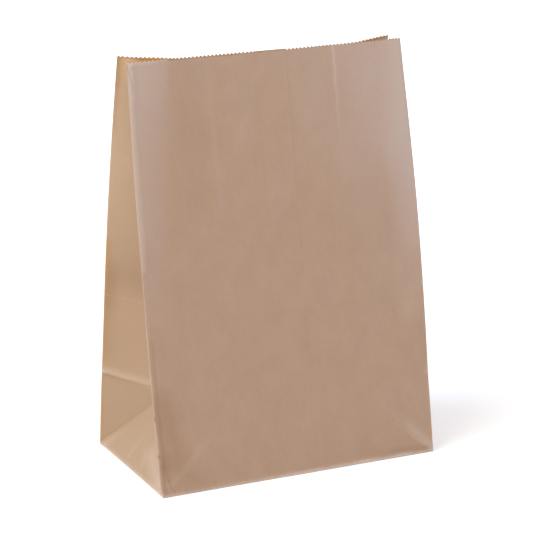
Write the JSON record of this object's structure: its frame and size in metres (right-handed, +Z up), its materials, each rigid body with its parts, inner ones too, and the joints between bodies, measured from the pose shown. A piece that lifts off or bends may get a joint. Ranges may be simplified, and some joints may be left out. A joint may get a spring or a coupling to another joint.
{
  "type": "brown paper lunch bag",
  "caption": "Brown kraft paper lunch bag with folded side gussets, a flat folded base, a glued front seam and a serrated top edge, standing almost closed at the mouth.",
  "frame": {"origin": "under the middle of the folded base, on the surface the bag stands on", "axes": "+X to the right along the front panel, +Y from the front panel to the back panel, +Z up"},
  "size_m": [0.2202, 0.1203, 0.3065],
  "materials": {
    "kraft_paper": "machine-glazed natural kraft, fine vertical fibre, soft sheen"
  },
  "bodies": {
    "root": {"paper_bag": "kraft_paper"}
  },
  "joints": []
}
